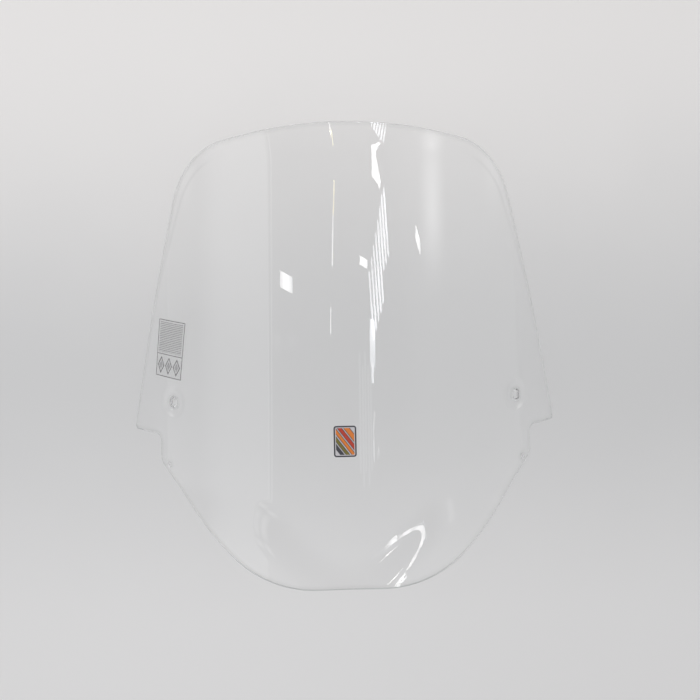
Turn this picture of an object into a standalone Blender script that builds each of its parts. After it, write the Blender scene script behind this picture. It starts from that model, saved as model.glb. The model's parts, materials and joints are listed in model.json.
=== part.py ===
# Clear windshield screen for a scooter: one formed acrylic sheet, two clear grommets in its
# dished seats, a front badge and a side label. Metres, +Z up. The screen lies on its rim as it
# rests on a bench, crown up, with its top edge towards +Y.
import math

import bmesh
import bpy
from mathutils import Matrix, Vector
from mathutils.geometry import delaunay_2d_cdt

# Sheet and mould
SHEET_THICKNESS = 0.004
FORM_RADIUS = 0.400
FLARE_START = 0.392
FLARE_RADIUS = 0.390
LIP_START = -0.177
LIP_RISE = 0.104
LIP_WIDTH = 0.1585
LIP_STEP = 0.0114
LIP_RUN = 0.084
EDGE_CHAMFER = 0.0008

# Blank outline, half width and height from the line through the ears
TOP_HEIGHT = 0.4345
TOP_ARC_RADIUS = 0.838
SHOULDER_HALF_WIDTH = 0.2425
SHOULDER_ROUNDING = 0.117
EAR_HALF_WIDTH = 0.3795
EAR_HEIGHT = -0.001
EAR_ROUNDING = 0.005
WAIST_HALF_WIDTH = 0.3075
WAIST_TOP = -0.005
WAIST_TOP_ROUNDING = 0.012
WAIST_BOTTOM = -0.0455
WAIST_BOTTOM_ROUNDING = 0.018
CHIN_HALF_WIDTH = 0.1195
CHIN_ROUNDING = 0.179
BOTTOM_HEIGHT = -0.217

# Dished seats beside the ears, with the grommets that sit in them
SEAT_OFFSET = 0.2545
SEAT_HEIGHT = 0.0435
SEAT_DEPTH = 0.002
SEAT_FLAT_RADIUS = 0.014
SEAT_RIM_RADIUS = 0.0255
GROMMET_HOLE_RADIUS = 0.007
GROMMET_BORE_RADIUS = 0.00425
GROMMET_FRONT_RADIUS = 0.011
GROMMET_REAR_RADIUS = 0.0105
GROMMET_FLANGE = 0.002
GROMMET_EDGE = 0.0006

# Lower screw holes with a flat land round each, placed from the waist's edge and its lower end
SCREW_EDGE = 0.0192
SCREW_DROP = 0.0045
SCREW_OFFSET = FORM_RADIUS * math.sin((WAIST_HALF_WIDTH - SCREW_EDGE) / FORM_RADIUS)
SCREW_HEIGHT = WAIST_BOTTOM - SCREW_DROP
SCREW_HOLE_RADIUS = 0.003
SCREW_LAND_RADIUS = 0.0085
SCREW_LAND_BLEND = 0.0125

# Badge and side label, stuck on the outer skin
BADGE_WIDTH = 0.032
BADGE_LENGTH = 0.044
BADGE_ROUNDING = 0.004
BADGE_OFFSET = -0.0035
BADGE_HEIGHT = -0.0095
LABEL_WIDTH = 0.056
LABEL_LENGTH = 0.085
LABEL_ROUNDING = 0.001
LABEL_OFFSET = -0.280
LABEL_HEIGHT = 0.122
LABEL_TURN = math.radians(-8.5)
FILM_THICKNESS = 0.0003

# Fits and mesh spacing
CLEARANCE = 0.0003
MERGE = 0.00005
MESH_STEP = 0.020
FILM_STEP = 0.008
ARC_TURN = math.radians(12.0)
SLOPE_STEP = 0.0005
DISH_SIDES = 24
DISH_FLOOR_RINGS = 2
DISH_WALL_RINGS = 4
SCREW_SIDES = 16
GROMMET_STEPS = 32
EDGE_ANGLE = math.radians(60.0)


def clear_scene():
    for item in list(bpy.data.objects):
        bpy.data.objects.remove(item, do_unlink=True)


def smooth(share):
    share = min(max(share, 0.0), 1.0)
    return share * share * (3.0 - 2.0 * share)


# Outline of the flat blank
def rounded_path(corners):
    """Points along corners given as (place, rounding), with the ends kept and an arc at each corner."""
    points = [corners[0][0]]
    for index in range(1, len(corners) - 1):
        place, rounding = corners[index]
        before = (corners[index - 1][0] - place).normalized()
        after = (corners[index + 1][0] - place).normalized()
        turn = math.pi - before.angle(after)
        reach = rounding * math.tan(turn / 2.0)
        start = place + before * reach
        middle = place + (before + after).normalized() * (rounding / math.cos(turn / 2.0))
        sign = 1.0 if before.cross(after) < 0.0 else -1.0
        count = max(2, math.ceil(turn / ARC_TURN))
        for step in range(count + 1):
            swing = Matrix.Rotation(sign * turn * step / count, 2)
            points.append(middle + swing @ (start - middle))
    points.append(corners[-1][0])
    return points


def split_path(points, step):
    """The same path with long runs divided into steps."""
    path = [points[0]]
    for start, end in zip(points, points[1:]):
        count = max(1, math.ceil((end - start).length / step))
        path.extend(start.lerp(end, index / count) for index in range(1, count + 1))
    return path


def top_edge(across):
    return TOP_HEIGHT - TOP_ARC_RADIUS + math.sqrt(TOP_ARC_RADIUS ** 2 - across ** 2)


def half_outline():
    """The right half of the blank, from the top centre round to the bottom and back up the middle."""
    run = SHOULDER_HALF_WIDTH - SHOULDER_ROUNDING
    count = math.ceil(run / MESH_STEP)
    arc = [Vector((run * index / count, top_edge(run * index / count))) for index in range(count + 1)]
    slope = run / math.sqrt(TOP_ARC_RADIUS ** 2 - run ** 2)
    shoulder = Vector((SHOULDER_HALF_WIDTH, arc[-1].y - slope * (SHOULDER_HALF_WIDTH - run)))
    corners = [
        (arc[-1], 0.0),
        (shoulder, SHOULDER_ROUNDING),
        (Vector((EAR_HALF_WIDTH, EAR_HEIGHT)), EAR_ROUNDING),
        (Vector((WAIST_HALF_WIDTH, WAIST_TOP)), WAIST_TOP_ROUNDING),
        (Vector((WAIST_HALF_WIDTH, WAIST_BOTTOM)), WAIST_BOTTOM_ROUNDING),
        (Vector((CHIN_HALF_WIDTH, BOTTOM_HEIGHT)), CHIN_ROUNDING),
        (Vector((0.0, BOTTOM_HEIGHT)), 0.0),
    ]
    return split_path(arc[:-1] + rounded_path(corners) + arc[:1], MESH_STEP)[:-1]


def film_outline(width, length, rounding):
    """A rectangle with rounded corners about the origin."""
    half = Vector((width / 2.0, length / 2.0))
    start = Vector((0.0, half.y))
    corners = [(start, 0.0)]
    for side, end in ((1, 1), (1, -1), (-1, -1), (-1, 1)):
        corners.append((Vector((half.x * side, half.y * end)), rounding))
    corners.append((start, 0.0))
    return split_path(rounded_path(corners), FILM_STEP)[:-1]


# Form of the mould
def bare_form(across, along):
    """Outer skin over the plain mould: a cylinder with a flared top and a lip stepped out below a crease."""
    rise = max(along - FLARE_START, 0.0) ** 2 / (2.0 * FLARE_RADIUS)
    crease = LIP_START + LIP_RISE * smooth(abs(across) / LIP_WIDTH)
    rise += LIP_STEP * smooth((crease - along) / LIP_RUN)
    angle = across / FORM_RADIUS
    radius = FORM_RADIUS + rise
    return Vector((radius * math.sin(angle), along, radius * math.cos(angle) - FORM_RADIUS))


def unroll(offset):
    return FORM_RADIUS * math.asin(offset / FORM_RADIUS)


class Seat:
    """A flat round seat pressed into the form, leaning as the skin does at its middle."""

    def __init__(self, offset, height, depth, flat, rim):
        self.offset = offset
        self.height = height
        self.flat = flat
        self.rim = rim
        self.lean = math.asin(offset / FORM_RADIUS)
        self.level = bare_form(unroll(offset), height).z - depth / math.cos(self.lean)

    def distance(self, place):
        return math.hypot((abs(place.x) - self.offset) / math.cos(self.lean), place.y - self.height)

    def pressed(self, place):
        share = smooth((self.distance(place) - self.flat) / (self.rim - self.flat))
        floor = self.level - (abs(place.x) - self.offset) * math.tan(self.lean)
        return Vector((place.x, place.y, floor + (place.z - floor) * share))

    def ring(self, radius, count):
        points = []
        for index in range(count):
            angle = 2.0 * math.pi * index / count
            offset = self.offset + radius * math.cos(angle) * math.cos(self.lean)
            points.append(Vector((unroll(offset), self.height + radius * math.sin(angle))))
        return points

    def place(self, side, height):
        """A point on the seat's axis, height above its floor, on the side given as 1 or -1."""
        up = Vector((side * math.sin(self.lean), 0.0, math.cos(self.lean)))
        return Vector((side * self.offset, self.height, self.level)) + up * height


def make_seats():
    dish = Seat(SEAT_OFFSET, SEAT_HEIGHT, SEAT_DEPTH, SEAT_FLAT_RADIUS, SEAT_RIM_RADIUS)
    land = Seat(SCREW_OFFSET, SCREW_HEIGHT, 0.0, SCREW_LAND_RADIUS, SCREW_LAND_BLEND)
    return dish, land


def formed(point, seats, lift=0.0):
    """The blank's point on the outer skin, raised by lift along the skin's normal."""
    def skin(across, along):
        place = bare_form(across, along)
        for seat in seats:
            place = seat.pressed(place)
        return place
    place = skin(point.x, point.y)
    if lift:
        sideways = skin(point.x + SLOPE_STEP, point.y) - skin(point.x - SLOPE_STEP, point.y)
        upwards = skin(point.x, point.y + SLOPE_STEP) - skin(point.x, point.y - SLOPE_STEP)
        place += sideways.cross(upwards).normalized() * lift
    return place


# Triangulated blanks, laid over the form
def loop_edges(first, count):
    return [(first + index, first + (index + 1) % count) for index in range(count)]


def path_distance(point, path):
    nearest = math.inf
    for start, end in zip(path, path[1:] + path[:1]):
        run = end - start
        share = min(max((point - start).dot(run) / max(run.length_squared, 1e-12), 0.0), 1.0)
        nearest = min(nearest, (start + run * share - point).length)
    return nearest


def inside(point, path):
    crossings = False
    for start, end in zip(path, path[1:] + path[:1]):
        if (start.y > point.y) != (end.y > point.y):
            share = (point.y - start.y) / (end.y - start.y)
            if point.x < start.x + share * (end.x - start.x):
                crossings = not crossings
    return crossings


def grid_points(path, step, keep_out):
    """Staggered rows of points inside the path, clear of its edge and of the discs to keep out of."""
    low = Vector((min(point.x for point in path), min(point.y for point in path)))
    high = Vector((max(point.x for point in path), max(point.y for point in path)))
    row_step = step * math.sqrt(3.0) / 2.0
    points = []
    for row in range(1, math.ceil((high.y - low.y) / row_step)):
        shift = step / 2.0 if row % 2 else step
        for column in range(math.ceil((high.x - low.x) / step)):
            point = Vector((low.x + shift + column * step, low.y + row * row_step))
            clear = all((point - middle).length > reach for middle, reach in keep_out)
            if clear and inside(point, path) and path_distance(point, path) > 0.5 * step:
                points.append(point)
    return points


def blank_object(name, path, rings, holes, keep_out, step, shape):
    """A mesh of the blank: path and rings kept as edges, holes left open, each point put by shape."""
    points = list(path)
    edges = loop_edges(0, len(path))
    for ring in rings:
        edges += loop_edges(len(points), len(ring))
        points += ring
    points += grid_points(path, step, keep_out)
    flat, _, faces, *_ = delaunay_2d_cdt(points, edges, [], 1, 1e-7)
    mesh = bpy.data.meshes.new(name)
    sheet = bmesh.new()
    corners = [sheet.verts.new(shape(point)) for point in flat]
    for face in faces:
        middle = sum((flat[index] for index in face), Vector((0.0, 0.0))) / len(face)
        if not any(inside(middle, hole) for hole in holes):
            sheet.faces.new([corners[index] for index in face])
    loose = [corner for corner in sheet.verts if not corner.link_faces]
    bmesh.ops.delete(sheet, geom=loose, context="VERTS")
    sheet.to_mesh(mesh)
    sheet.free()
    mesh.shade_smooth()
    return bpy.data.objects.new(name, mesh)


def thicken(item, thickness, offset):
    solid = item.modifiers.new("thickness", "SOLIDIFY")
    solid.thickness = thickness
    solid.offset = offset
    solid.use_even_offset = True
    solid.use_quality_normals = True


# Pieces
def spread(start, end, count):
    return [start + (end - start) * index / count for index in range(count + 1)]


def make_sheet(seats):
    dish, land = seats
    dish_radii = spread(GROMMET_HOLE_RADIUS, SEAT_FLAT_RADIUS, DISH_FLOOR_RINGS)
    dish_radii += spread(SEAT_FLAT_RADIUS, SEAT_RIM_RADIUS, DISH_WALL_RINGS)[1:]
    land_radii = [SCREW_HOLE_RADIUS, SCREW_LAND_RADIUS, SCREW_LAND_BLEND]
    dish_rings = [dish.ring(radius, DISH_SIDES) for radius in dish_radii]
    land_rings = [land.ring(radius, SCREW_SIDES) for radius in land_radii]
    rings = dish_rings + land_rings
    holes = [dish_rings[0], land_rings[0]]
    keep_out = []
    for seat in seats:
        middle = Vector((unroll(seat.offset), seat.height))
        keep_out.append((middle, seat.rim + MESH_STEP / 3.0))
    sheet = blank_object("windshield_sheet", half_outline(), rings, holes, keep_out, MESH_STEP,
                         lambda point: formed(point, seats))
    mirror = sheet.modifiers.new("other half", "MIRROR")
    mirror.merge_threshold = MERGE
    thicken(sheet, SHEET_THICKNESS, -1.0)
    chamfer = sheet.modifiers.new("edge chamfer", "BEVEL")
    chamfer.width = EDGE_CHAMFER
    chamfer.segments = 1
    chamfer.limit_method = "ANGLE"
    chamfer.angle_limit = EDGE_ANGLE
    return sheet


def make_film(name, outline, turn, middle, seats):
    swing = Matrix.Rotation(turn, 2)
    path = [middle + swing @ point for point in outline]
    film = blank_object(name, path, [], [], [], FILM_STEP,
                        lambda point: formed(point, seats, CLEARANCE))
    thicken(film, FILM_THICKNESS, 1.0)
    return film


def grommet_profile():
    """Half section from the axis outwards; height 0 is the sheet's outer face at the seat."""
    front = CLEARANCE
    rear = -SHEET_THICKNESS - CLEARANCE
    barrel = GROMMET_HOLE_RADIUS - CLEARANCE
    top = front + GROMMET_FLANGE
    bottom = rear - GROMMET_FLANGE
    return [
        (GROMMET_BORE_RADIUS, top),
        (GROMMET_FRONT_RADIUS - GROMMET_EDGE, top),
        (GROMMET_FRONT_RADIUS, top - GROMMET_EDGE),
        (GROMMET_FRONT_RADIUS, front),
        (barrel, front),
        (barrel, rear),
        (GROMMET_REAR_RADIUS, rear),
        (GROMMET_REAR_RADIUS, bottom + GROMMET_EDGE),
        (GROMMET_REAR_RADIUS - GROMMET_EDGE, bottom),
        (GROMMET_BORE_RADIUS, bottom),
    ]


def make_grommet(name, mesh, dish, side):
    grommet = bpy.data.objects.new(name, mesh)
    grommet.location = dish.place(side, 0.0)
    grommet.rotation_euler.y = side * dish.lean
    turned = grommet.modifiers.new("turned", "SCREW")
    turned.steps = GROMMET_STEPS
    turned.render_steps = GROMMET_STEPS
    turned.use_merge_vertices = True
    turned.merge_threshold = MERGE
    return grommet


def grommet_mesh():
    mesh = bpy.data.meshes.new("grommet")
    profile = [(radius, 0.0, height) for radius, height in grommet_profile()]
    mesh.from_pydata(profile, loop_edges(0, len(profile)), [])
    return mesh


def make_material(name, colour, roughness, transmission):
    material = bpy.data.materials.new(name)
    material.use_nodes = True
    shader = material.node_tree.nodes["Principled BSDF"]
    shader.inputs["Base Color"].default_value = (*colour, 1.0)
    shader.inputs["Roughness"].default_value = roughness
    shader.inputs["Metallic"].default_value = 0.0
    shader.inputs["Transmission Weight"].default_value = transmission
    return material


# Resting pose
def skin_points(item):
    view = bpy.context.evaluated_depsgraph_get()
    shape = item.evaluated_get(view)
    return [item.matrix_world @ corner.co for corner in shape.data.vertices]


def rest_tilt(item):
    """Turn about X that lays the piece on the two places under its centre of mass, seen from the side."""
    view = bpy.context.evaluated_depsgraph_get()
    solid = bmesh.new()
    solid.from_object(item, view)
    weight = Vector((0.0, 0.0, 0.0))
    area = 0.0
    for face in solid.faces:
        weight += face.calc_center_median() * face.calc_area()
        area += face.calc_area()
    solid.free()
    balance = weight / area
    low = []
    for place in sorted((point.y, point.z) for point in skin_points(item)):
        while len(low) > 1 and turn_of(low[-2], low[-1], place) <= 0.0:
            low.pop()
        low.append(place)
    for start, end in zip(low, low[1:]):
        run = Vector(end) - Vector(start)
        share = (Vector((balance.y, balance.z)) - Vector(start)).dot(run) / run.length_squared
        if 0.0 <= share <= 1.0:
            return -math.atan2(run.y, run.x)
    return 0.0


def turn_of(first, second, third):
    return (second[0] - first[0]) * (third[1] - first[1]) - (second[1] - first[1]) * (third[0] - first[0])


def lay_down(carrier, sheet, pieces):
    bpy.context.view_layer.update()
    carrier.rotation_euler.x = rest_tilt(sheet)
    bpy.context.view_layer.update()
    points = [point for piece in pieces for point in skin_points(piece)]
    low = [min(point[axis] for point in points) for axis in range(3)]
    high = [max(point[axis] for point in points) for axis in range(3)]
    carrier.location = (-(low[0] + high[0]) / 2.0, -(low[1] + high[1]) / 2.0, -low[2])
    bpy.context.view_layer.update()


def main():
    clear_scene()
    collection = bpy.data.collections.new("windshield_screen")
    bpy.context.scene.collection.children.link(collection)
    carrier = bpy.data.objects.new("screen_frame", None)
    collection.objects.link(carrier)

    seats = make_seats()
    dish = seats[0]
    acrylic = make_material("clear acrylic", (0.95, 0.97, 0.97), 0.03, 1.0)
    soft = make_material("clear grommet plastic", (0.90, 0.91, 0.91), 0.18, 1.0)
    printed = make_material("badge print", (0.82, 0.79, 0.74), 0.30, 0.0)
    film = make_material("label film", (0.72, 0.73, 0.74), 0.35, 0.0)

    sheet = make_sheet(seats)
    turned = grommet_mesh()
    left = make_grommet("left_grommet", turned, dish, -1.0)
    right = make_grommet("right_grommet", turned, dish, 1.0)
    badge = make_film("front_badge", film_outline(BADGE_WIDTH, BADGE_LENGTH, BADGE_ROUNDING), 0.0,
                      Vector((BADGE_OFFSET, BADGE_HEIGHT)), seats)
    label = make_film("side_label", film_outline(LABEL_WIDTH, LABEL_LENGTH, LABEL_ROUNDING), LABEL_TURN,
                      Vector((LABEL_OFFSET, LABEL_HEIGHT)), seats)

    pieces = [sheet, left, right, badge, label]
    for piece, material in zip(pieces, (acrylic, soft, soft, printed, film)):
        piece.data.materials.clear()
        piece.data.materials.append(material)
        piece.parent = carrier
        collection.objects.link(piece)
    lay_down(carrier, sheet, pieces)


main()
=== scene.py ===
# Clear scooter windshield screen: formed acrylic sheet, clear grommets, badge and side label.
import json
import math

import bpy
import numpy as np
from mathutils import Matrix, Vector
from mathutils.geometry import delaunay_2d_cdt


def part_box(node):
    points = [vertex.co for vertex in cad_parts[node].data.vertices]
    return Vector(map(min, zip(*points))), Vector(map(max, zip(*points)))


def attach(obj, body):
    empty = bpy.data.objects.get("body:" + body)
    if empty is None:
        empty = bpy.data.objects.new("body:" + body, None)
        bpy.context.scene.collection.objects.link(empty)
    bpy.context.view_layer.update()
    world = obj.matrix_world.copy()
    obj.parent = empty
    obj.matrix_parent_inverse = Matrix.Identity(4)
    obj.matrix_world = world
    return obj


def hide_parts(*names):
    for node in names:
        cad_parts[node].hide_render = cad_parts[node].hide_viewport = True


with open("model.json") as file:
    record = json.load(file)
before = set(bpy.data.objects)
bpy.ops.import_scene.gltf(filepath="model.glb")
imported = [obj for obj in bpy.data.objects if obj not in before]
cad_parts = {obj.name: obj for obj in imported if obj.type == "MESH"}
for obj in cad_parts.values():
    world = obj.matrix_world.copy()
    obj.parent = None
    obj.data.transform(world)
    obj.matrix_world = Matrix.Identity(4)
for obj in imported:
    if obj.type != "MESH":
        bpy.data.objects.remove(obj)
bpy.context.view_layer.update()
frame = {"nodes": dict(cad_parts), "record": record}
scene = bpy.context.scene
print("frame loaded, nodes:", ", ".join(sorted(frame["nodes"])))


midway = 0.5  # of values that run from 0 to 1


def opaque(colour):
    return (*colour, 1.0)


# Node trees: a socket that takes part in sums, and one way to add any other node
class Wire:
    def __init__(self, tree, socket=None):
        self.tree = tree
        self.socket = socket

    def node(self, kind, settings=None, sockets=None, output=0):
        made = self.tree.nodes.new(kind)
        for name, value in (settings or {}).items():
            setattr(made, name, value)
        for name, value in (sockets or {}).items():
            if isinstance(value, Wire):
                self.tree.links.new(value.socket, made.inputs[name])
            else:
                made.inputs[name].default_value = value
        return Wire(self.tree, made.outputs[output] if made.outputs else None)

    def sum(self, operation, first, second=0.0):
        return self.node("ShaderNodeMath", {"operation": operation}, {0: first, 1: second})

    def __add__(self, other):
        return self.sum("ADD", self, other)

    def __radd__(self, other):
        return self.sum("ADD", other, self)

    def __sub__(self, other):
        return self.sum("SUBTRACT", self, other)

    def __rsub__(self, other):
        return self.sum("SUBTRACT", other, self)

    def __mul__(self, other):
        return self.sum("MULTIPLY", self, other)

    def __rmul__(self, other):
        return self.sum("MULTIPLY", other, self)

    def __truediv__(self, other):
        return self.sum("DIVIDE", self, other)

    def __rtruediv__(self, other):
        return self.sum("DIVIDE", other, self)

    def __pow__(self, other):
        return self.sum("POWER", self, other)

    def __rpow__(self, other):
        return self.sum("POWER", other, self)

    def __abs__(self):
        return self.sum("ABSOLUTE", self)

    def __lt__(self, other):
        return self.sum("LESS_THAN", self, other)

    def __gt__(self, other):
        return self.sum("GREATER_THAN", self, other)

    def fraction(self):
        return self.sum("FRACT", self)

    def least(self, other):
        return self.sum("MINIMUM", self, other)

    def most(self, other):
        return self.sum("MAXIMUM", self, other)

    def fade(self, start, end):  # 0 at start, 1 at end, smooth between
        return self.node("ShaderNodeMapRange", {"interpolation_type": "SMOOTHSTEP"},
                         {"Value": self, "From Min": start, "From Max": end})

    def part(self, index):  # one number of a vector
        return self.node("ShaderNodeSeparateXYZ", {}, {"Vector": self}, index)

    def noise(self, scale, detail):  # cloudy values over this place
        return self.node("ShaderNodeTexNoise", {}, {"Vector": self, "Scale": scale, "Detail": detail})

    def mix(self, share, first, second, way="MIX"):
        ends = [colour if isinstance(colour, Wire) else opaque(colour) for colour in (first, second)]
        return self.node("ShaderNodeMix", {"data_type": "RGBA", "blend_type": way},
                         {0: share, 6: ends[0], 7: ends[1]}, 2)  # 6 and 7 take colours, 2 gives one

    def blend(self, first, second):  # two colours, mixed by this share
        return self.mix(self, first, second)


def newMaterial(name):
    material = bpy.data.materials.new(name)
    material.use_nodes = True
    material.node_tree.nodes.clear()
    return material, Wire(material.node_tree)


def closeMaterial(tree, shader):
    tree.node("ShaderNodeOutputMaterial", {}, {"Surface": shader})


def lightThrough(tree, clear, shade):  # lets lamps and floor light pass a clear shader
    passing = tree.node("ShaderNodeBsdfTransparent", {}, {"Color": opaque(shade)})
    floorRay = tree.node("ShaderNodeLightPath", output="Is Diffuse Ray")
    lampRay = tree.node("ShaderNodeLightPath", output="Is Shadow Ray")
    lit = tree.node("ShaderNodeMixShader", {}, {0: floorRay, 1: clear, 2: passing})
    return tree.node("ShaderNodeMixShader", {}, {0: lampRay, 1: lit, 2: passing})


# Form of the sheet. Across and along are measured on the flat blank, from the middle of the ear line.
mould = {
    "radius": 0.400,
    "thickness": 0.004,
    "flareStart": 0.392,
    "flareRadius": 0.390,
    "lipStart": -0.177,
    "lipRise": 0.104,
    "lipWidth": 0.1585,
    "lipStep": 0.0114,
    "lipRun": 0.084,
    "slopeStep": 0.0005,
}
dishedSeat = {"offset": 0.2545, "height": 0.0435, "depth": 0.002, "flat": 0.014, "rim": 0.0255, "hole": 0.007}
screwLand = {"offset": 0.264, "height": -0.050, "depth": 0.0, "flat": 0.0085, "rim": 0.0125, "hole": 0.003}
seats = (dishedSeat, screwLand)


def smooth(share):
    share = np.clip(share, 0.0, 1.0)
    return share * share * (3.0 - 2.0 * share)


def bareSkin(across, along):
    rise = np.maximum(along - mould["flareStart"], 0.0) ** 2 / (2.0 * mould["flareRadius"])
    crease = mould["lipStart"] + mould["lipRise"] * smooth(np.abs(across) / mould["lipWidth"])
    rise = rise + mould["lipStep"] * smooth((crease - along) / mould["lipRun"])
    angle = across / mould["radius"]
    reach = mould["radius"] + rise
    return np.stack([reach * np.sin(angle), along, reach * np.cos(angle) - mould["radius"]], axis=-1)


def unrolled(offset):
    return mould["radius"] * np.arcsin(offset / mould["radius"])


def seatLean(seat):
    return math.asin(seat["offset"] / mould["radius"])


def seatLevel(seat):
    middle = bareSkin(unrolled(seat["offset"]), np.float64(seat["height"]))
    return middle[2] - seat["depth"] / math.cos(seatLean(seat))


def pressed(place, seat):
    sideways = np.abs(place[..., 0]) - seat["offset"]
    distance = np.hypot(sideways / math.cos(seatLean(seat)), place[..., 1] - seat["height"])
    share = smooth((distance - seat["flat"]) / (seat["rim"] - seat["flat"]))
    floor = seatLevel(seat) - sideways * math.tan(seatLean(seat))
    return np.stack([place[..., 0], place[..., 1], floor + (place[..., 2] - floor) * share], axis=-1)


def pressedSkin(across, along):
    place = bareSkin(across, along)
    for seat in seats:
        place = pressed(place, seat)
    return place


def skinNormal(points):
    across, along = points[..., 0], points[..., 1]
    step = mould["slopeStep"]
    sideways = pressedSkin(across + step, along) - pressedSkin(across - step, along)
    upwards = pressedSkin(across, along + step) - pressedSkin(across, along - step)
    normal = np.cross(sideways, upwards)
    return normal / np.linalg.norm(normal, axis=-1, keepdims=True)


def skin(points, lift=0.0):  # points of the blank on the outer skin, raised along its normal
    return pressedSkin(points[..., 0], points[..., 1]) + skinNormal(points) * lift


# Paths and meshes on the blank
meshFit = {
    "clearOfLoop": 0.55,  # in mesh steps, from a loop to the first lattice point
    "clearOfSeat": 0.5,
    "mergeWithin": 1e-8,
}


def roundedPath(corners, arcTurn=math.radians(5.0)):  # corners as (place, rounding), ends kept
    points = [corners[0][0]]
    for (before, _), (place, rounding), (after, _) in zip(corners, corners[1:], corners[2:]):
        back = (before - place).normalized()
        ahead = (after - place).normalized()
        turn = math.pi - back.angle(ahead)
        start = place + back * (rounding * math.tan(turn / 2.0))
        middle = place + (back + ahead).normalized() * (rounding / math.cos(turn / 2.0))
        sign = 1.0 if back.cross(ahead) < 0.0 else -1.0
        count = max(2, math.ceil(turn / arcTurn))
        for index in range(count + 1):
            swing = Matrix.Rotation(sign * turn * index / count, 2)
            points.append(middle + swing @ (start - middle))
    points.append(corners[-1][0])
    return points


def splitPath(points, step):
    path = [points[0]]
    for start, end in zip(points, points[1:]):
        count = max(1, math.ceil((end - start).length / step))
        path.extend(start.lerp(end, index / count) for index in range(1, count + 1))
    return path


def insetLoop(loop, distance):  # a closed loop moved into the material on its left
    ahead = np.roll(loop, -1, axis=0) - loop
    behind = loop - np.roll(loop, 1, axis=0)
    travel = ahead / np.linalg.norm(ahead, axis=1, keepdims=True)
    travel = travel + behind / np.linalg.norm(behind, axis=1, keepdims=True)
    travel /= np.linalg.norm(travel, axis=1, keepdims=True)
    return loop + np.stack([-travel[:, 1], travel[:, 0]], axis=1) * distance


def insideLoop(points, loop):
    ends = np.roll(loop, -1, axis=0)
    crossings = np.zeros(len(points), bool)
    for start, end in zip(loop, ends):
        if start[1] != end[1]:
            between = (start[1] > points[:, 1]) != (end[1] > points[:, 1])
            place = start[0] + (points[:, 1] - start[1]) / (end[1] - start[1]) * (end[0] - start[0])
            crossings ^= between & (points[:, 0] < place)
    return crossings


def loopDistance(points, loop):
    nearest = np.full(len(points), np.inf)
    for start, end in zip(loop, np.roll(loop, -1, axis=0)):
        run = end - start
        share = np.clip((points - start) @ run / (run @ run), 0.0, 1.0)
        nearest = np.minimum(nearest, np.linalg.norm(points - start - share[:, None] * run, axis=1))
    return nearest


def latticeInside(loop, step):  # staggered rows of points, clear of the loop
    low, high = loop.min(axis=0), loop.max(axis=0)
    rowStep = step * math.sqrt(3.0) / 2.0
    rows = np.arange(low[1] + rowStep, high[1], rowStep)
    columns = np.arange(low[0] + step / 4.0, high[0], step)
    points = np.array([(across + step / 2.0 * (row % 2), along)
                       for row, along in enumerate(rows) for across in columns])
    points = points[insideLoop(points, loop)]
    return points[loopDistance(points, loop) > meshFit["clearOfLoop"] * step]


def edgeRows(rounding, thickness, steps):  # (inset, depth) down a rounded edge, from skin to skin
    turns = [math.radians(90.0) * index / steps for index in range(steps + 1)]
    front = [(rounding * (1.0 - math.sin(turn)), rounding * (1.0 - math.cos(turn))) for turn in turns]
    return front + [(inset, thickness - depth) for inset, depth in reversed(front)]


def triangulated(loops, extra, isOpen):  # flat mesh of the blank: places, faces, and each loop's corners
    points = np.concatenate(loops + extra)
    edges = []
    first = 0
    for loop in loops:
        count = len(loop)
        edges += [(first + index, first + (index + 1) % count) for index in range(count)]
        first += count
    places = [Vector(point) for point in points]
    flat, _, faces, origins, *_ = delaunay_2d_cdt(places, edges, [], 1, meshFit["mergeWithin"])
    flat = np.array([tuple(place) for place in flat])
    corners = {}
    for index, sources in enumerate(origins):
        for source in sources:
            corners[source] = index
    middles = np.array([flat[list(face)].mean(axis=0) for face in faces])
    keep = ~isOpen(middles)
    faces = [face for face, kept in zip(faces, keep) if kept]
    used = sorted({index for face in faces for index in face})
    packed = {index: place for place, index in enumerate(used)}
    faces = [[packed[index] for index in face] for face in faces]
    rims = []
    first = 0
    for loop in loops:
        rims.append([packed[corners[first + index]] for index in range(len(loop))])
        first += len(loop)
    return flat[used], faces, rims


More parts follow.
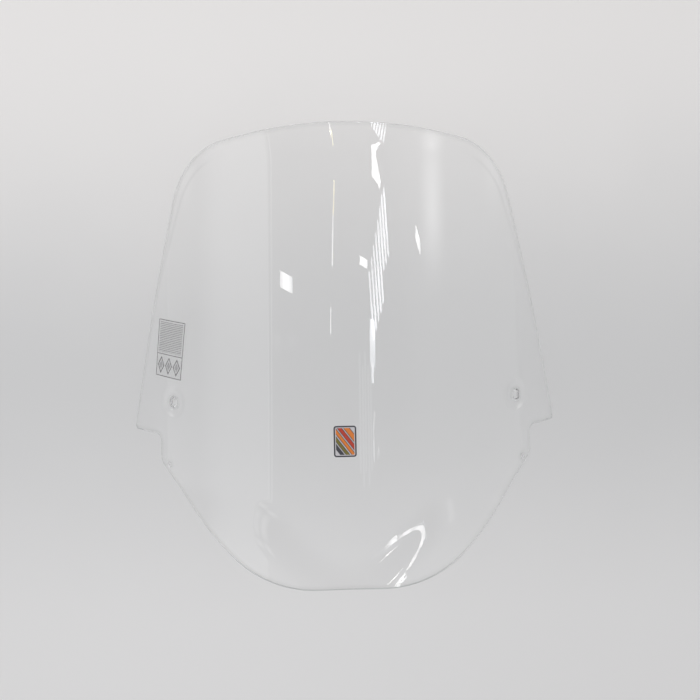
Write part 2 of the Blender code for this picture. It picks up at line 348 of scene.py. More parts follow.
def sheetMesh(name, loopAt, rows, extra, isOpen, lift=0.0):  # a solid from a blank, with rounded edges
    loops = loopAt(rows[0][0])
    flat, faces, rims = triangulated(loops, extra, isOpen)
    thickness = rows[-1][1]
    count = len(flat)
    places = [skin(flat, lift), skin(flat, lift - thickness)]
    blank = [flat, flat]
    normals = [skinNormal(flat), -skinNormal(flat)]
    solid = [list(face) for face in faces]
    solid += [[count + index for index in reversed(face)] for face in faces]
    skinFaces = len(solid)
    total = 2 * count
    for number, rim in enumerate(rims):
        rings = [list(rim)]
        for inset, depth in rows[1:-1]:
            loop = loopAt(inset)[number]
            places.append(skin(loop, lift - depth))
            blank.append(loop)
            normals.append(np.zeros((len(loop), 3)))  # left to the mesh
            rings.append(list(range(total, total + len(loop))))
            total += len(loop)
        rings.append([count + index for index in rim])
        for upper, lower in zip(rings, rings[1:]):
            for index in range(len(rim)):
                after = (index + 1) % len(rim)
                solid.append([upper[index], lower[index], lower[after], upper[after]])
    mesh = bpy.data.meshes.new(name)
    mesh.from_pydata(np.concatenate(places).tolist(), [], solid)
    mesh.polygons.foreach_set("material_index", [0] * skinFaces + [1] * (len(solid) - skinFaces))
    mesh.shade_smooth()
    mesh.update()
    mesh.normals_split_custom_set_from_vertices(np.concatenate(normals).tolist())
    reach = np.zeros(total, np.float32)
    reach[:2 * count] = np.tile(np.min([loopDistance(flat, loop) for loop in loops], axis=0), 2)
    mesh.attributes.new("rimDistance", "FLOAT", "POINT").data.foreach_set("value", reach)
    blank = np.concatenate(blank)
    layout = mesh.uv_layers.new(name="blank")  # metres on the flat blank
    corners = np.empty(len(mesh.loops), np.int32)
    mesh.loops.foreach_get("vertex_index", corners)
    layout.data.foreach_set("uv", blank[corners].ravel())
    return mesh, blank


def addPiece(name, mesh, materials, node):
    piece = bpy.data.objects.new(name, mesh)
    scene.collection.objects.link(piece)
    for material in materials:
        mesh.materials.append(material)
    mesh.transform(formToFrame)
    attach(piece, "root")
    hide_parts(node)


# Outline of the sheet
sheetPiece = {
    "topHeight": 0.4345,
    "topArcRadius": 0.838,
    "shoulder": 0.2425,
    "shoulderRounding": 0.117,
    "ear": (0.3795, -0.001),
    "earRounding": 0.005,
    "waist": 0.3075,
    "waistTop": -0.005,
    "waistTopRounding": 0.012,
    "waistBottom": -0.0455,
    "waistBottomRounding": 0.018,
    "chin": 0.1195,
    "chinRounding": 0.179,
    "bottom": -0.217,
    "edgeStep": 0.004,
    "meshStep": 0.0055,
    "edgeRounding": 0.0013,
    "edgeSteps": 4,
    "seatSides": 56,
    "seatRingStep": 0.0016,
}


def outlineLoop():
    cut = sheetPiece
    run = cut["shoulder"] - cut["shoulderRounding"]
    count = math.ceil(run / cut["edgeStep"])
    arc = []
    for index in range(count + 1):
        across = run * index / count
        drop = cut["topArcRadius"] - math.sqrt(cut["topArcRadius"] ** 2 - across ** 2)
        arc.append(Vector((across, cut["topHeight"] - drop)))
    slope = run / math.sqrt(cut["topArcRadius"] ** 2 - run ** 2)
    shoulder = Vector((cut["shoulder"], arc[-1].y - slope * (cut["shoulder"] - run)))
    corners = [
        (arc[-1], 0.0),
        (shoulder, cut["shoulderRounding"]),
        (Vector(cut["ear"]), cut["earRounding"]),
        (Vector((cut["waist"], cut["waistTop"])), cut["waistTopRounding"]),
        (Vector((cut["waist"], cut["waistBottom"])), cut["waistBottomRounding"]),
        (Vector((cut["chin"], cut["bottom"])), cut["chinRounding"]),
        (Vector((0.0, cut["bottom"])), 0.0),
    ]
    half = np.array([tuple(point) for point in splitPath(arc[:-1] + roundedPath(corners), cut["edgeStep"])])
    other = half[1:-1] * (-1.0, 1.0)
    return np.concatenate([half, other[::-1]])[::-1]  # anticlockwise, so the material is on the left


def seatLoop(seat, side, radius, sides):  # clockwise, so the material is on the left of a hole
    turn = -2.0 * np.pi * np.arange(sides) / sides
    offset = seat["offset"] + radius * np.cos(turn) * math.cos(seatLean(seat))
    loop = np.stack([unrolled(offset), seat["height"] + radius * np.sin(turn)], axis=1)
    return loop if side > 0 else (loop * (-1.0, 1.0))[::-1]


outline = outlineLoop()
holes = [(seat, side) for seat in seats for side in (-1, 1)]


def sheetLoops(inset):
    loops = [insetLoop(outline, inset)]
    for seat, side in holes:
        loops.append(seatLoop(seat, side, seat["hole"] + inset, sheetPiece["seatSides"]))
    return loops


def seatDistance(points, seat):
    across = mould["radius"] * np.sin(np.abs(points[:, 0]) / mould["radius"]) - seat["offset"]
    return np.hypot(across / math.cos(seatLean(seat)), points[:, 1] - seat["height"])


def inHoles(points):
    return np.any([seatDistance(points, seat) < seat["hole"] for seat in seats], axis=0)


def sheetPoints():
    points = latticeInside(insetLoop(outline, sheetPiece["edgeRounding"]), sheetPiece["meshStep"])
    spare = meshFit["clearOfSeat"] * sheetPiece["meshStep"]
    rings = []
    for seat in seats:
        points = points[seatDistance(points, seat) > seat["rim"] + spare]
        count = math.ceil((seat["rim"] - seat["hole"]) / sheetPiece["seatRingStep"])
        start = seat["hole"] + sheetPiece["edgeRounding"]
        for radius in np.linspace(start, seat["rim"], count)[1:]:
            rings += [seatLoop(seat, side, radius, sheetPiece["seatSides"]) for side in (-1, 1)]
    return [points] + rings


# Grommets, turned about the seat's axis; height 0 is the sheet's outer face
grommetPiece = {
    "bore": 0.00425,
    "front": 0.011,
    "rear": 0.0105,
    "flange": 0.002,
    "edge": 0.0006,
    "heel": 0.0003,  # rounding at a flange's inner rim
    "root": 0.0002,
    "fit": 0.0003,
    "arcTurn": math.radians(20.0),
    "steps": 72,
}


def grommetMesh(name, side):
    cut = grommetPiece
    top = cut["fit"] + cut["flange"]
    back = -mould["thickness"] - cut["fit"]
    bottom = back - cut["flange"]
    barrel = dishedSeat["hole"] - cut["fit"]
    start = Vector((cut["bore"], (top + bottom) / 2.0))
    corners = [(start, 0.0)]
    for radius, height, rounding in (
        (cut["bore"], bottom, cut["edge"]),
        (cut["rear"], bottom, cut["edge"]),
        (cut["rear"], back, cut["heel"]),
        (barrel, back, cut["root"]),
        (barrel, cut["fit"], cut["root"]),
        (cut["front"], cut["fit"], cut["heel"]),
        (cut["front"], top, cut["edge"]),
        (cut["bore"], top, cut["edge"]),
    ):
        corners.append((Vector((radius, height)), rounding))
    corners.append((start, 0.0))
    section = roundedPath(corners, cut["arcTurn"])[:-1]
    middle = Vector((side * dishedSeat["offset"], dishedSeat["height"], seatLevel(dishedSeat)))
    lean = Matrix.Rotation(side * seatLean(dishedSeat), 3, "Y")
    places = []
    for index in range(cut["steps"]):
        turn = 2.0 * math.pi * index / cut["steps"]
        for radius, height in section:
            places.append(middle + lean @ Vector((radius * math.cos(turn), radius * math.sin(turn), height)))
    count = len(section)
    faces = []
    for index in range(cut["steps"]):
        this, after = index * count, (index + 1) % cut["steps"] * count
        for corner in range(count):
            upper = (corner + 1) % count
            faces.append([this + corner, after + corner, after + upper, this + upper])
    mesh = bpy.data.meshes.new(name)
    mesh.from_pydata(places, [], faces)
    mesh.shade_smooth()
    mesh.update()
    return mesh


# Place of the form in the frame: tilt from a seat's mount, offset from a grommet's box
seatMount = next(mount for mount in frame["record"]["mounts"] if mount["name"] == "left_seat_back")
restTurn = Matrix.Rotation(math.atan2(seatMount["axis"][1], -seatMount["axis"][2]), 4, "X")
leftGrommet = grommetMesh("left_grommet_ring", -1)
turned = np.array([restTurn @ corner.co for corner in leftGrommet.vertices])
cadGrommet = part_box("left_grommet")
shift = (cadGrommet[0] + cadGrommet[1]) / 2.0 - Vector((turned.min(axis=0) + turned.max(axis=0)) / 2.0)
formToFrame = Matrix.Translation(shift) @ restTurn
print("form placed at", [round(value, 5) for value in shift])


# Clear acrylic: polished skin with faint draw lines, and a paler sawn edge, painted grey and darker at the
# bottom as painted shade
acrylicLook = {
    "tint": (0.99, 0.992, 0.992),
    # painted shade: the skin is painted darker in a band along its rim
    "rimShade": (0.915, 0.918, 0.918),
    "rimShadeReach": 0.007,
    # painted shadow: a darker line inside the rim near the top corners, lying further in towards the top edge
    "shadowLineTint": (0.935, 0.938, 0.938),
    "shadowLineReach": (0.17, 0.405),  # from where to where along the blank the painted shadow line is seen
    "shadowLineFade": 0.04,
    "shadowLineSlope": 0.08,
    "shadowLineWidth": 0.004,
    "ior": 1.49,
    "roughness": 0.003,
    "haze": 0.01,
    "smudge": (11.0, 4.0),  # scale and detail
    "smudgeReach": (0.5, 0.8),
    "drawn": (260.0, 2.0, 1.0),  # draw lines across, along and through the sheet
    "drawDetail": 3.0,
    "drawLines": 0.02,
    "drawDepth": 0.0001,
    "lampShade": (0.995, 0.995, 0.995),
    "edgeShade": (0.97, 0.97, 0.97),
    "edgeShare": (0.30, 0.90),  # how much of the painted grey edge is seen, at the top and at the bottom; more at the bottom, as painted shade
    "edgeLowShade": (0.50, 0.51, 0.51),
    "lowReach": (-0.165, -0.212),
    "tipAcross": (0.350, 0.364),  # painted shade: the sawn lower side of each ear's tip is painted as dark as the bottom
    "tipAlong": (0.006, 0.001),
    # painted shade: the edge is painted grey, with a random paler tone from the saw cuts
    "edgeColour": (0.58, 0.59, 0.59),
    "edgePale": (0.68, 0.685, 0.685),
    "edgeIor": 1.2,
    "edgeRoughness": (0.5, 0.12),
    "cuts": (320.0, 2.0),
    "cutReach": (0.35, 0.7),
    "cutStrength": 0.1,
    "cutDepth": 0.0002,
}


def acrylicMaterial():
    look = acrylicLook
    material, tree = newMaterial("clear_acrylic")
    place = tree.node("ShaderNodeUVMap", {"uv_map": "blank"})
    drawn = tree.node("ShaderNodeVectorMath", {"operation": "MULTIPLY"}, {0: place, 1: look["drawn"]})
    lines = drawn.noise(1.0, look["drawDetail"])
    bump = tree.node("ShaderNodeBump", {}, {
        "Height": lines, "Strength": look["drawLines"], "Distance": look["drawDepth"]})
    rough = look["roughness"] + look["haze"] * place.noise(*look["smudge"]).fade(*look["smudgeReach"])
    rim = tree.node("ShaderNodeAttribute", {"attribute_name": "rimDistance"}, output="Fac")
    # painted shade: the skin darker towards its rim
    colour = rim.fade(look["rimShadeReach"], 0.0).blend(look["tint"], look["rimShade"])
    # painted shadow: a darker line inside the rim near the top corners, further from the edge towards the top
    along = place.part(1)
    start, end = look["shadowLineReach"]
    away = abs(rim - (along - start) * look["shadowLineSlope"])
    shadowLine = away.fade(look["shadowLineWidth"], 0.0) * along.fade(start, start + look["shadowLineFade"])
    shadowLine = shadowLine * along.fade(end, end - look["shadowLineFade"])
    colour = shadowLine.blend(colour, look["shadowLineTint"])
    clear = tree.node("ShaderNodeBsdfPrincipled", {}, {
        "Base Color": colour, "Roughness": rough, "IOR": look["ior"],
        "Transmission Weight": 1.0, "Normal": bump})
    closeMaterial(tree, lightThrough(tree, clear, look["lampShade"]))
    return material


def edgeMaterial():
    look = acrylicLook
    material, tree = newMaterial("polished_edge")
    cuts = tree.node("ShaderNodeTexCoord", output="Object").noise(*look["cuts"])
    colour = cuts.fade(*look["cutReach"]).blend(look["edgeColour"], look["edgePale"])
    blank = tree.node("ShaderNodeUVMap", {"uv_map": "blank"})
    along = blank.part(1)
    tip = abs(blank.part(0)).fade(*look["tipAcross"]) * along.fade(*look["tipAlong"])
    # painted shade: the edge painted darker at the bottom and at the ears' tips
    low = along.fade(*look["lowReach"]).most(tip)
    colour = low.blend(colour, look["edgeLowShade"])
    bump = tree.node("ShaderNodeBump", {}, {
        "Height": cuts, "Strength": look["cutStrength"], "Distance": look["cutDepth"]})
    smoothest, rougher = look["edgeRoughness"]
    sawn = tree.node("ShaderNodeBsdfPrincipled", {}, {
        "Base Color": colour, "Roughness": smoothest + rougher * cuts,
        "IOR": look["edgeIor"], "Normal": bump})
    passing = tree.node("ShaderNodeBsdfTransparent")
    # more of the grey edge shows at the bottom, as painted shade
    upper, lower = look["edgeShare"]
    mixed = tree.node("ShaderNodeMixShader", {}, {0: upper + (lower - upper) * low, 1: passing, 2: sawn})
    closeMaterial(tree, lightThrough(tree, mixed, look["edgeShade"]))
    return material


mesh, _ = sheetMesh("formed_sheet", sheetLoops,
                    edgeRows(sheetPiece["edgeRounding"], mould["thickness"], sheetPiece["edgeSteps"]),
                    sheetPoints(), inHoles)
addPiece("formed_sheet", mesh, (acrylicMaterial(), edgeMaterial()), "windshield_sheet")
print("formed sheet made,", len(mesh.polygons), "faces")


# Grommets in soft clear plastic
grommetLook = {
    "colour": (0.965, 0.97, 0.97),
    "pale": (0.985, 0.985, 0.985),
    "cloud": (240.0, 3.0),
    "cloudReach": (0.3, 0.7),
    "roughness": (0.06, 0.04),
    "ior": 1.06,
    "share": 0.3,  # how much of the plastic is seen
    "lampShade": (0.99, 0.99, 0.99),
}


def grommetMaterial():
    look = grommetLook
    material, tree = newMaterial("clear_grommet")
    cloud = tree.node("ShaderNodeTexCoord", output="Object").noise(*look["cloud"])
    colour = cloud.fade(*look["cloudReach"]).blend(look["colour"], look["pale"])
    smoothest, rougher = look["roughness"]
    clear = tree.node("ShaderNodeBsdfPrincipled", {}, {
        "Base Color": colour, "Roughness": smoothest + rougher * cloud, "IOR": look["ior"],
        "Transmission Weight": 1.0})
    passing = tree.node("ShaderNodeBsdfTransparent")
    mixed = tree.node("ShaderNodeMixShader", {}, {0: look["share"], 1: passing, 2: clear})
    closeMaterial(tree, lightThrough(tree, mixed, look["lampShade"]))
    return material


softClear = grommetMaterial()
addPiece("left_grommet_ring", leftGrommet, (softClear,), "left_grommet")
addPiece("right_grommet_ring", grommetMesh("right_grommet_ring", 1), (softClear,), "right_grommet")
print("grommets made")


# Films stuck on the outer skin, with their print laid out in millimetres from the film's middle
filmFit = {"gap": 0.0003, "thickness": 0.0003, "edgeRounding": 0.0001, "edgeSteps": 2}
millimetres = 1000.0  # in a metre


def filmMesh(name, film):
    half = Vector((film["width"] / 2.0, film["length"] / 2.0))
    start = Vector((0.0, half.y))
    corners = [(start, 0.0)]
    for side, end in ((-1, 1), (-1, -1), (1, -1), (1, 1)):
        corners.append((Vector((half.x * side, half.y * end)), film["rounding"]))
    corners.append((start, 0.0))
    flatLoop = np.array([tuple(point) for point in splitPath(roundedPath(corners), film["step"])[:-1]])
    swing = np.array(Matrix.Rotation(film["turn"], 2))
    middle = np.array(film["middle"])

    def laid(points):
        return points @ swing.T + middle

    rows = edgeRows(filmFit["edgeRounding"], filmFit["thickness"], filmFit["edgeSteps"])
    inner = [laid(latticeInside(flatLoop, film["step"]))]
    mesh, blank = sheetMesh(name, lambda inset: [laid(insetLoop(flatLoop, inset))], rows, inner,
                            lambda points: np.zeros(len(points), bool),  # a film has no holes
                            filmFit["gap"] + filmFit["thickness"])
    mesh.polygons.foreach_set("material_index", [0] * len(mesh.polygons))
    local = (blank - middle) @ swing
    layout = mesh.uv_layers.new(name="print")
    for loop in mesh.loops:
        across, along = local[loop.vertex_index]
        layout.data[loop.index].uv = (across / film["width"] + midway, along / film["length"] + midway)
    return mesh


def printPlace(tree, film):  # millimetres right of and above the film's middle
    layout = tree.node("ShaderNodeUVMap", {"uv_map": "print"})
    across = (layout.part(0) - midway) * (film["width"] * millimetres)
    along = (layout.part(1) - midway) * (film["length"] * millimetres)
    return across, along


def rimDepth(across, along, film):  # millimetres from the film's rounded rim, less than 0 inside
    rounding = film["rounding"] * millimetres
    over = abs(across) - (film["width"] * millimetres / 2.0 - rounding)
    up = abs(along) - (film["length"] * millimetres / 2.0 - rounding)
    outside = (over.most(0.0) ** 2.0 + up.most(0.0) ** 2.0) ** 0.5
    return outside + over.most(up).least(0.0) - rounding


badgePiece = {
    "width": 0.032,
    "length": 0.044,
    "rounding": 0.004,
    "middle": (-0.0035, -0.0095),
    "turn": 0.0,
    "step": 0.003,
    "line": (0.045, 0.045, 0.055),
    "field": (0.55, 0.54, 0.56),
    "orange": (0.68, 0.19, 0.025),
    "red": (0.46, 0.04, 0.02),
    "olive": (0.17, 0.14, 0.025),
    "slope": (0.8, 0.6),
    "stripes": (  # place along the slope, half width, ink; the print is in millimetres
        (13.0, 3.4, "orange"),
        (5.2, 2.6, "red"),
        (-1.6, 2.4, "orange"),
        (-8.2, 2.2, "olive"),
        (-14.4, 2.2, "line"),
    ),
    "stripeSoft": 0.1,
    "stripeEdge": (0.55, 0.3),
    "margin": 3.2,
    "marginSoft": 0.15,
    "frame": 1.15,
    "frameCore": 0.9,
    "grain": (900.0, 2.0),
    "roughness": (0.24, 0.12),
    "coat": 0.3,
    "lampShade": (0.97, 0.97, 0.97),
}


def badgeMaterial():
    film = badgePiece
    material, tree = newMaterial("badge_print")
    across, along = printPlace(tree, film)
    rim = rimDepth(across, along, film)
    slant = across * film["slope"][0] + along * film["slope"][1]
    colour = film["field"]
    for middle, half, ink in film["stripes"]:
        offset = abs(slant - middle)
        colour = offset.fade(half + film["stripeSoft"], half - film["stripeSoft"]).blend(colour, film[ink])
        colour = abs(offset - half).fade(*film["stripeEdge"]).blend(colour, film["line"])
    inner = (rim + film["margin"]).fade(film["marginSoft"], -film["marginSoft"])
    colour = inner.blend(film["field"], colour)
    colour = abs(rim + film["frame"]).fade(film["frame"], film["frameCore"]).blend(colour, film["line"])
    grain = tree.node("ShaderNodeTexCoord", output="Object").noise(*film["grain"])
    smoothest, rougher = film["roughness"]
    inked = tree.node("ShaderNodeBsdfPrincipled", {}, {
        "Base Color": colour, "Roughness": smoothest + rougher * grain, "Coat Weight": film["coat"]})
    closeMaterial(tree, lightThrough(tree, inked, film["lampShade"]))
    return material


addPiece("badge_film", filmMesh("badge_film", badgePiece), (badgeMaterial(),), "front_badge")

labelPiece = {
    "width": 0.056,
    "length": 0.085,
    "rounding": 0.001,
    "middle": (-0.280, 0.122),
    "turn": math.radians(-8.5),
    "step": 0.004,
    "ink": (0.10, 0.10, 0.105),
    "film": 0.035,  # how much the bare film hides, then its lines and its rules
    "line": 0.62,
    "rule": 0.24,
    "border": 0.7,
    "lineFade": (0.6, 0.4),
    "divider": -9.0,
    "pitch": 2.6,
    "ruleFade": (0.35, 0.45),
    "block": (16.5, 22.5, 24.5),  # middle, half length and half width
    "blockFade": 0.3,
    "diamonds": (-17.0, 0.0, 17.0),
    "diamondHeight": -25.5,
    "diamondHalf": (7.5, 13.0),
    "stroke": 0.9,
    "strokeCore": 0.7,
    "core": (-3.4, -3.7),
    "wear": (0.86, 0.14),
    "smear": (500.0, 2.0),
    "roughness": (0.22, 0.15),
    "lampShade": (0.97, 0.97, 0.97),
}


def labelMaterial():
    film = labelPiece
    material, tree = newMaterial("label_film")
    across, along = printPlace(tree, film)
    rim = rimDepth(across, along, film)
    line = abs(rim + film["border"]).fade(*film["lineFade"])
    divider = abs(along - film["divider"]).fade(*film["lineFade"])
    line = line.most(divider * (rim < -film["border"]))
    middle, half, halfAcross = film["block"]
    rows = (along / film["pitch"]).fraction().fade(*film["ruleFade"])
    rule = rows * abs(along - middle).fade(half, half - film["blockFade"])
    rule = rule * abs(across).fade(halfAcross, halfAcross - film["blockFade"])
    wide, tall = film["diamondHalf"]
    for place in film["diamonds"]:
        reach = abs(across - place) / wide + abs(along - film["diamondHeight"]) / tall
        inside = (reach - 1.0) * wide
        line = line.most(abs(inside + film["stroke"]).fade(film["stroke"], film["strokeCore"]))
        rule = rule.most(inside.fade(*film["core"]))
    ink = (line * film["line"]).most(rule * film["rule"])
    smear = tree.node("ShaderNodeTexCoord", output="Object").noise(*film["smear"])
    kept, worn = film["wear"]
    opacity = film["film"] + ink * (kept + worn * smear)
    smoothest, rougher = film["roughness"]
    inked = tree.node("ShaderNodeBsdfPrincipled", {}, {
        "Base Color": opaque(film["ink"]), "Roughness": smoothest + rougher * smear, "Alpha": opacity})
    closeMaterial(tree, lightThrough(tree, inked, film["lampShade"]))
    return material


addPiece("label_film", filmMesh("label_film", labelPiece), (labelMaterial(),), "side_label")
print("badge and label made")


# Floor, lamps and world
floorLook = {
    "half": 5.0,
    # painted light and shade: the floor is painted brighter far off and on the left, darker across its middle
    "far": (0.885, 0.868, 0.860),
    "middle": (0.664, 0.664, 0.668),
    "near": (0.775, 0.77, 0.772),
    "darkest": -0.07,  # place along the floor, as are the two reaches
    "farReach": 0.45,
    "nearReach": -0.52,
    "left": (1.02, 1.02, 1.02),
    "right": (0.965, 0.965, 0.965),
    "sideReach": 0.55,
    "cloud": (3.0, 3.0),
    "cloudShift": 0.12,
    "roughness": 0.85,
}


def makeFloor():
    look = floorLook
    half = look["half"]
    mesh = bpy.data.meshes.new("floor")
    corners = [(-half, -half, 0.0), (half, -half, 0.0), (half, half, 0.0), (-half, half, 0.0)]
    mesh.from_pydata(corners, [], [(0, 1, 2, 3)])
    floor = bpy.data.objects.new("floor", mesh)
    scene.collection.objects.link(floor)
    material, tree = newMaterial("pale_floor")
    place = tree.node("ShaderNodeTexCoord", output="Object")
    # painted light and shade across the floor
    along = place.part(1) + look["cloudShift"] * (place.noise(*look["cloud"]) - midway)
    colour = along.fade(look["darkest"], look["farReach"]).blend(look["middle"], look["far"])
    colour = along.fade(look["darkest"], look["nearReach"]).blend(colour, look["near"])
    side = place.part(0).fade(-look["sideReach"], look["sideReach"]).blend(look["left"], look["right"])
    colour = tree.mix(1.0, colour, side, "MULTIPLY")
    matt = tree.node("ShaderNodeBsdfPrincipled", {}, {"Base Color": colour, "Roughness": look["roughness"]})
    closeMaterial(tree, matt)
    mesh.materials.append(material)


lampRig = {
    "height": 2.4,
    "key": {"place": (0.0, 0.1), "size": (0.05, 0.05), "lift": 0.3, "brightness": 970.0},
    "plain": (1.0, 1.0, 1.0),  # tones of the lamps
    "cool": (0.93, 0.96, 1.0),
    "warm": (1.0, 0.88, 0.45),
    "aims": {  # a place on the sheet, and how many degrees from that line the lamp still shows
        "top": ((0.05, 0.17, 0.10), 8.5),
        "hook": ((0.047, 0.25, 0.08), 6.0),
        "tail": ((0.038, -0.03, 0.145), 5.0),
        "thin": ((-0.014, 0.22, 0.090), 9.0),
        "thinNear": ((-0.019, 0.05, 0.127), 5.0),
        "thinFlare": ((-0.012, 0.325, 0.069), 1.5),
        "left": ((-0.081, 0.10, 0.107), 5.0),
        "right": ((0.105, 0.150, 0.087), 2.5),
        "band": ((0.125, 0.24, 0.066), 7.5),
        "lip": ((0.088, -0.265, 0.195), 4.5),
        "lipLow": ((0.088, -0.265, 0.195), 3.3),
        "lipLeft": ((-0.125, -0.285, 0.190), 4.5),
        "foot": ((0.072, -0.362, 0.165), 3.2),
    },
    "strips": [  # place in plan, size across and along, degrees turned in plan, brightness, tone, aim
        ("tail_top", (0.592, 0.49), (0.11, 0.18), -5.0, 11.0, "cool", "tail"),
        ("tail", (0.575, 0.375), (0.045, 0.07), -5.0, 10.0, "cool", "tail"),
        ("tail_end", (0.553, 0.125), (0.022, 0.14), -3.0, 6.0, "cool", "tail"),
        ("thin_far", (-0.130, 1.055), (0.02, 0.14), -12.0, 9.0, "warm", "thin"),
        ("thin", (-0.172, 0.885), (0.02, 0.20), -11.0, 10.0, "plain", "thin"),
        ("thin_flare", (-0.150, 0.97), (0.05, 0.30), -11.5, 14.0, "warm", "thinFlare"),
        ("thin_near", (-0.240, 0.58), (0.015, 0.10), -7.0, 10.0, "plain", "thinNear"),
        ("left_window", (-1.21, 0.738), (0.32, 0.068), -3.0, 14.0, "plain", "left"),
        ("middle_window", (0.452, 0.80), (0.165, 0.035), -8.0, 14.0, "plain", "top"),
        ("right_window", (1.845, 0.922), (0.19, 0.06), -36.0, 14.0, "plain", "right"),
        ("hook_bar", (0.746, 1.20), (0.10, 0.08), 0.0, 12.0, "plain", "hook"),
        ("hook_end", (0.828, 1.16), (0.13, 0.05), -50.0, 12.0, "plain", "hook"),
        ("hook_low", (0.785, 1.142), (0.205, 0.035), -13.0, 12.0, "plain", "hook"),
        ("swoosh_low", (0.555, 0.12), (0.06, 0.24), -22.0, 15.0, "plain", "lipLow"),
        ("swoosh", (0.58, 0.40), (0.14, 0.28), -12.0, 12.0, "plain", "lip"),
        ("swoosh_high", (0.685, 0.645), (0.12, 0.28), -28.0, 12.0, "plain", "lip"),
        ("swoosh_side", (0.235, 0.43), (0.13, 0.03), 27.0, 12.0, "plain", "lip"),
        ("foot_side", (0.17, 0.406), (0.15, 0.03), 8.0, 16.0, "plain", "foot"),
        ("foot", (0.50, 0.13), (0.18, 0.22), 44.5, 16.0, "plain", "foot"),
        ("foot_low", (0.66, -0.03), (0.18, 0.22), 44.5, 16.0, "plain", "foot"),
        ("lip_fill", (-1.465, 0.34), (0.355, 0.375), 0.0, 0.9, "plain", "lipLeft"),
        ("lip_fill", (-1.110, 0.34), (0.355, 0.375), 0.0, 0.9, "plain", "lipLeft"),
        ("lip_fill", (-1.465, 0.715), (0.355, 0.375), 0.0, 0.9, "plain", "lipLeft"),
        ("lip_fill", (-1.110, 0.715), (0.355, 0.375), 0.0, 0.9, "plain", "lipLeft"),
        ("band", (2.45, 1.15), (2.0, 1.1), 0.0, 1.6, "plain", "band"),
        ("frame_line", (-1.62, 0.60), (0.03, 2.0), 0.0, 0.8, "plain", None),
        ("frame_edge", (-1.71, 0.60), (0.02, 2.0), 0.0, 0.6, "plain", None),
    ],
    "dimmest": 2.0,  # lamps under this brightness also show in the sheet's back
    "louvre": {  # slanted slats side by side; an end is a place across, its level there and its slope
        "slats": 8,
        "first": 0.54,
        "pitch": 0.0675,
        "width": 0.033,
        "slant": 0.25,
        "slantFrom": 0.85,
        "top": (0.544, 0.771, 0.77),
        "topMost": 1.115,
        "nearBottom": (0.6, 0.53, 0.5),
        "farBottom": (0.865, 0.76, 0.4),
        "farFrom": 0.83,
        "brightness": 14.0,
    },
    "shutter": {
        "slats": 5,
        "first": 0.30,
        "pitch": 0.055,
        "width": 0.034,
        "top": 0.46,
        "bottom": 0.02,
        "stagger": 0.05,
        "turn": -5.0,  # in degrees
        "brightness": 0.5,
    },
    "soft": ("band",),
    "softReach": (0.5, 0.08),  # from a lamp's side to its middle, as shares of its size
}
ceiling = {  # brightness overhead; sideways places are slopes from straight up
    "plain": 0.682,
    "ahead": -1.0,
    "aheadReach": (-0.35, 0.48),
    "corner": 1.1,
    "cornerAhead": (0.12, 0.30),
    "cornerHeight": (0.32, 0.18),
    "leftEdge": -0.70,
    "leftReach": (-3.2, -1.3),
    "left": 0.40,
    "leftAhead": 0.8,
    "rightReach": (0.40, 0.85),
    "rightAhead": 0.85,
    "lowest": 0.05,
    "brightest": 2.0,
    "tone": (1.0, 1.0, 1.005),
    "backdrop": (0.66, 0.655, 0.65),  # seen past the floor's far side
}
black = (0.0, 0.0, 0.0)


def slopedEnd(offset, start, level, slope):
    return level + slope * (offset - start)


def louvreStrips():
    louvre = lampRig["louvre"]
    turn = math.degrees(math.atan(louvre["slant"]))
    strips = []
    for index in range(louvre["slats"]):
        offset = louvre["first"] + louvre["pitch"] * index
        top = min(slopedEnd(offset, *louvre["top"]), louvre["topMost"])
        bottom = slopedEnd(offset, *louvre["nearBottom" if offset < louvre["farFrom"] else "farBottom"])
        middle = (top + bottom) / 2.0
        place = (offset - louvre["slant"] * (middle - louvre["slantFrom"]), middle)
        size = (louvre["width"], top - bottom)
        strips.append(("slat", place, size, turn, louvre["brightness"], "cool", "top"))
    return strips


def shutterStrips():
    shutter = lampRig["shutter"]
    size = (shutter["width"], shutter["top"] - shutter["bottom"])
    middle = (shutter["top"] + shutter["bottom"]) / 2.0
    strips = []
    for index in range(shutter["slats"]):
        place = (shutter["first"] + shutter["pitch"] * index, middle - shutter["stagger"] * (index % 2))
        strips.append(("shutter", place, size, shutter["turn"], shutter["brightness"], "cool", None))
    return strips


def softenLamp(lamp):  # fades a lamp out towards its sides
    lamp.use_nodes = True
    lamp.node_tree.nodes.clear()
    tree = Wire(lamp.node_tree)
    place = tree.node("ShaderNodeNewGeometry", output="Parametric")
    share = 1.0
    for side in (0, 1):
        share = abs(place.part(side) - midway).fade(*lampRig["softReach"]) * share
    light = tree.node("ShaderNodeEmission", {}, {"Color": share.blend(black, lampRig["plain"])})
    tree.node("ShaderNodeOutputLight", {}, {"Surface": light})


def addLamp(name, place, size, turn, brightness, tone, aim=None, lift=0.0):
    lamp = bpy.data.lights.new(name, "AREA")
    lamp.shape = "RECTANGLE"
    item = bpy.data.objects.new(name, lamp)
    item.location = (*place, lampRig["height"] + lift)
    swing = Matrix.Rotation(math.radians(turn), 3, "Z")
    if aim:
        target, reach = lampRig["aims"][aim]
        reach = math.radians(reach)
        ray = Vector(target) - item.location
        size = (size[0] * abs(ray.z) / math.hypot(ray.x, ray.z),  # as it looks in plan
                size[1] * abs(ray.z) / math.hypot(ray.y, ray.z))
        swing = Vector((0.0, 0.0, -1.0)).rotation_difference(ray).to_matrix() @ swing
        lamp.spread = 2.0 * reach
        brightness *= 1.0 - reach / math.tan(reach)
    item.rotation_euler = swing.to_euler()
    lamp.size, lamp.size_y = size
    lamp.energy = brightness * math.pi * size[0] * size[1]
    lamp.color = lampRig[tone]
    if name in lampRig["soft"]:
        softenLamp(lamp)
    item.visible_camera = False
    scene.collection.objects.link(item)
    return item


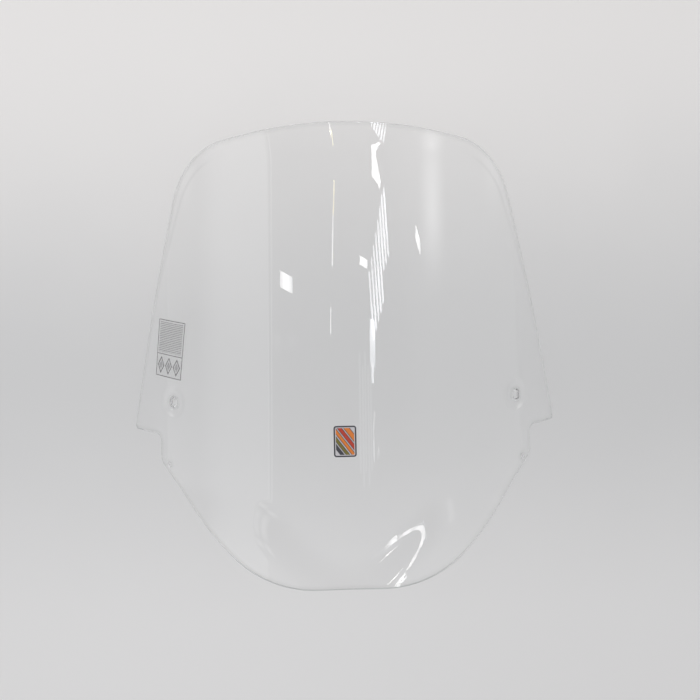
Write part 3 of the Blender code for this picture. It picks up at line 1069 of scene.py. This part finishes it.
def makeWorld():
    world = bpy.data.worlds.new("studio")
    world.use_nodes = True
    world.node_tree.nodes.clear()
    tree = Wire(world.node_tree)
    ray = tree.node("ShaderNodeTexCoord", output="Generated")
    height = ray.part(2).most(ceiling["lowest"])
    across = ray.part(0) / height
    ahead = ray.part(1)
    corner = ahead.fade(*ceiling["cornerAhead"]) * height.fade(*ceiling["cornerHeight"])
    ahead = ahead.most(ceiling["aheadReach"][0]).least(ceiling["aheadReach"][1])
    left = (across < ceiling["leftEdge"]) * across.fade(*ceiling["leftReach"])
    right = across.fade(*ceiling["rightReach"])
    tilt = ceiling["ahead"] + ceiling["leftAhead"] * left + ceiling["rightAhead"] * right
    level = ceiling["plain"] + ahead * tilt + ceiling["left"] * left + ceiling["corner"] * corner
    brightest = [ceiling["brightest"] * part for part in ceiling["tone"]]
    colour = (level / ceiling["brightest"]).blend(black, brightest)
    seen = tree.node("ShaderNodeLightPath", output="Is Camera Ray")
    colour = seen.blend(colour, ceiling["backdrop"])
    light = tree.node("ShaderNodeBackground", {}, {"Color": colour})
    tree.node("ShaderNodeOutputWorld", {}, {"Surface": light})
    scene.world = world


def lightScene():
    key = lampRig["key"]
    keyLamp = addLamp("key", key["place"], key["size"], 0.0, key["brightness"], "plain", lift=key["lift"])
    keyLamp.visible_glossy = False
    keyLamp.visible_transmission = False
    strips = lampRig["strips"] + louvreStrips() + shutterStrips()
    for name, place, size, turn, brightness, tone, aim in strips:
        lamp = addLamp(name, place, size, turn, brightness, tone, aim)
        lamp.visible_diffuse = False
        lamp.visible_transmission = brightness < lampRig["dimmest"]
    makeWorld()
    scene.view_settings.view_transform = "Standard"


makeFloor()
lightScene()
print("floor and lamps set")

# Camera, in the form's own frame: nearly square on to the sheet, above its middle
cameraView = {
    "distance": 1.5,
    "focal": 1034.17,  # pixels of the photograph's frame
    "frame": 700.0,
    "sensor": 36.0,
    "pitch": math.radians(1.919),
    "yaw": math.radians(1.299),
    "roll": math.radians(1.308),
    "shift": (-0.00715, -0.01615, 0.0),
    "target": (0.0, 0.100, -0.060),
}


def makeCamera():
    view = cameraView
    axes = (Matrix.Rotation(view["roll"], 3, "Z") @ Matrix.Rotation(view["yaw"], 3, "Y")
            @ Matrix.Rotation(view["pitch"], 3, "X"))
    back = axes.transposed()
    place = back @ (Vector((0.0, 0.0, view["distance"])) - Vector(view["shift"])) + Vector(view["target"])
    lens = bpy.data.cameras.new("camera")
    lens.sensor_width = view["sensor"]
    lens.lens = view["focal"] / view["frame"] * view["sensor"]
    camera = bpy.data.objects.new("camera", lens)
    camera.matrix_world = formToFrame @ Matrix.Translation(place) @ back.to_4x4()
    scene.collection.objects.link(camera)
    scene.camera = camera


makeCamera()
